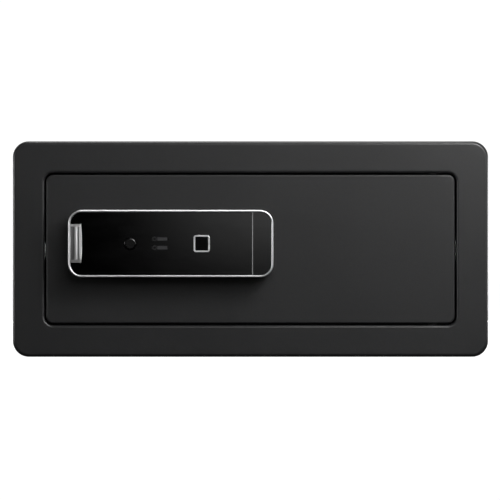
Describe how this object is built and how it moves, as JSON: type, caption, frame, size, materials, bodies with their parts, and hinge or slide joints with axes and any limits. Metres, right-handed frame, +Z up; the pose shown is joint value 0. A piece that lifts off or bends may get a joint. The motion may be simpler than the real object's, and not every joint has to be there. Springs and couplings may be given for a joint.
{
  "type": "gun safe",
  "caption": "Low, wide steel gun safe with a flush side-hinged door, motor-driven bolts, a fingerprint lock panel and a hidden key override.",
  "frame": {"origin": "centre of the underside of the cabinet", "axes": "+X to the right of someone facing the door, +Y from the door to the back, +Z up"},
  "size_m": [0.43, 0.37, 0.195],
  "materials": {
    "body_paint": "satin",
    "inner_paint": "satin",
    "zinc_steel": "satin",
    "bolt_steel": "polished",
    "bezel_chrome": "polished",
    "grip_metal": "brushed",
    "panel_plastic": "matte",
    "panel_glass": "gloss",
    "button_plastic": "gloss",
    "lens_plastic": "gloss",
    "sensor_black": "gloss",
    "rubber_black": "matte",
    "carpet": "matte",
    "bush_plastic": "matte",
    "board_green": "satin",
    "part_black": "satin",
    "brass": "satin",
    "motor_can": "satin",
    "cell_wrap": "gloss",
    "screw_steel": "satin"
  },
  "bodies": {
    "cabinet": {"front_frame": "body_paint", "door_jamb": "body_paint", "body_wrap": "body_paint", "back_panel": "body_paint", "floor_mat": "carpet", "hinge_brackets": "zinc_steel", "hinge_bushings": "bush_plastic", "strike_bar": "zinc_steel", "door_stops": "body_paint", "stop_buffers": "rubber_black"},
    "door": {"door_panel": "body_paint", "hinge_blocks": "zinc_steel", "hinge_pins": "bolt_steel", "lock_case": "inner_paint", "case_end_plate": "inner_paint", "inner_cover": "inner_paint", "inner_cover_screws": "screw_steel", "panel_gasket": "rubber_black", "panel_housing": "panel_plastic", "chrome_bezel": "bezel_chrome", "touch_glass": "panel_glass", "divider_strip": "bezel_chrome", "finger_pull": "grip_metal", "sensor_frame": "bezel_chrome", "fingerprint_sensor": "sensor_black", "status_lenses": "lens_plastic", "keypad_board": "board_green", "keypad_components": "part_black", "housing_screws": "screw_steel", "key_cylinder": "brass", "cylinder_nut": "zinc_steel", "bolt_guides": "bush_plastic", "guide_posts": "zinc_steel", "guide_washers": "zinc_steel", "gear_motor": "motor_can", "motor_bracket": "zinc_steel", "motor_screws": "screw_steel", "control_board": "board_green", "board_standoffs": "brass", "control_components": "part_black", "battery_tray": "part_black", "battery_cells": "cell_wrap", "battery_contacts": "zinc_steel", "battery_springs": "zinc_steel"},
    "bolt_work": {"locking_bolts": "bolt_steel", "bolt_nuts": "zinc_steel", "bolt_carriage": "zinc_steel", "drive_rack": "zinc_steel"},
    "pinion": {"drive_pinion": "brass", "motor_shaft": "bolt_steel"},
    "key_turn": {"key_plug": "brass", "cam_arm": "zinc_steel", "cam_screw": "screw_steel"},
    "cap": {"end_cap": "panel_glass"},
    "wake": {"wake_button": "button_plastic"},
    "reset": {"reset_button": "rubber_black"},
    "battery_lid": {"battery_cover": "part_black"}
  },
  "joints": [
    {"name": "door_swing", "type": "hinge", "parent": "cabinet", "child": "door", "pos_m": [0.16465, -0.1615, 0.0975], "axis": [0, 0, 1], "range_deg": [0, 110]},
    {"name": "bolt_throw", "type": "slide", "parent": "door", "child": "bolt_work", "axis": [-1, 0, 0], "range_m": [0, 0.016]},
    {"name": "pinion_turn", "type": "hinge", "parent": "door", "child": "pinion", "pos_m": [-0.06, -0.14455, 0.0975], "axis": [0, 0, 1], "range_deg": [0, 115]},
    {"name": "key_turn", "type": "hinge", "parent": "door", "child": "key_turn", "pos_m": [0.0104, -0.169, 0.1023], "axis": [0, -1, 0], "range_deg": [-90, 0]},
    {"name": "cap_pull", "type": "slide", "parent": "door", "child": "cap", "axis": [0, -1, 0], "range_m": [0, 0.03]},
    {"name": "wake_press", "type": "slide", "parent": "door", "child": "wake", "axis": [0, 1, 0], "range_m": [0, 0.0008], "stiffness_N_per_m": 400},
    {"name": "reset_press", "type": "slide", "parent": "door", "child": "reset", "axis": [0, -1, 0], "range_m": [0, 0.001], "stiffness_N_per_m": 400},
    {"name": "battery_lid_lift", "type": "slide", "parent": "door", "child": "battery_lid", "axis": [0, 1, 0], "range_m": [0, 0.02]}
  ],
  "couplings": [
    {"joint": "pinion_turn", "follows": "bolt_throw", "rad_per_m": 125}
  ]
}
